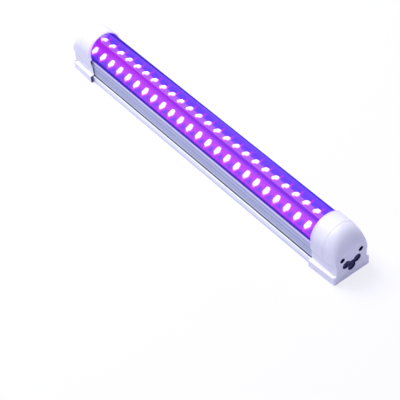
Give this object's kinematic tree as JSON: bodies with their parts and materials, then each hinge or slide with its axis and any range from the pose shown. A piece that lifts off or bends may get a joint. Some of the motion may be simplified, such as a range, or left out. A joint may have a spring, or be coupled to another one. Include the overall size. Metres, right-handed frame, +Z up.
{
  "type": "ultraviolet led tube light",
  "caption": "Violet diode tube light: ribbed aluminium channel, clear half-round cover, and white end caps with three-pin sockets for linking lamps end to end.",
  "frame": {"origin": "centre of the underside, halfway along the lamp", "axes": "+X along the lamp towards the right cap, +Y across it towards the rear, +Z up out of the cover"},
  "size_m": [0.3, 0.0332, 0.039],
  "materials": {
    "anodised_aluminium": "ribbed extrusion, silver anodised, satin",
    "clear_polycarbonate": "clear moulded half-round cover, glossy",
    "light_board_face": "white solder mask lit violet, satin",
    "thermal_tape": "thin pale gap tape",
    "diode_package": "white moulded package, lit pink",
    "diode_window": "clear silicone, lit",
    "white_cap_plastic": "white moulded plastic, satin",
    "socket_plastic": "dark moulded insert",
    "plated_brass": "plated contact pin",
    "steel_screw": "zinc plated",
    "circuit_board": "green glass-fibre board",
    "sleeve_film": "thin insulating film",
    "fuse_body": "glazed resistor fuse",
    "black_epoxy": "moulded black package",
    "film_capacitor_case": "dipped film capacitor",
    "capacitor_sleeve": "shrink-wrapped can",
    "ferrite": "sintered core",
    "copper_wire": "enamelled winding",
    "brown_insulation": "wire insulation",
    "blue_insulation": "wire insulation",
    "earth_insulation": "wire insulation",
    "red_insulation": "wire insulation",
    "white_insulation": "wire insulation"
  },
  "bodies": {
    "root": {"base_channel": "anodised_aluminium", "clear_cover": "clear_polycarbonate", "front_light_board": "light_board_face", "rear_light_board": "light_board_face", "front_thermal_tape": "thermal_tape", "rear_thermal_tape": "thermal_tape", "front_diode_bodies": "diode_package", "rear_diode_bodies": "diode_package", "front_diode_windows": "diode_window", "rear_diode_windows": "diode_window", "board_link": "plated_brass", "right_end_cap": "white_cap_plastic", "left_end_cap": "white_cap_plastic", "right_socket": "socket_plastic", "left_socket": "socket_plastic", "right_socket_pins": "plated_brass", "left_socket_pins": "plated_brass", "cap_screws": "steel_screw", "driver_board": "circuit_board", "insulating_sleeve": "sleeve_film", "fuse": "fuse_body", "bridge_rectifier": "black_epoxy", "film_capacitor": "film_capacitor_case", "input_capacitor": "capacitor_sleeve", "output_capacitor": "capacitor_sleeve", "driver_chip": "black_epoxy", "blocking_diode": "black_epoxy", "choke_core": "ferrite", "choke_winding": "copper_wire", "driver_resistors": "black_epoxy", "through_line_wire": "brown_insulation", "through_neutral_wire": "blue_insulation", "through_earth_wire": "earth_insulation", "line_feed_wire": "brown_insulation", "neutral_feed_wire": "blue_insulation", "positive_light_wire": "red_insulation", "negative_light_wire": "white_insulation"}
  },
  "joints": []
}
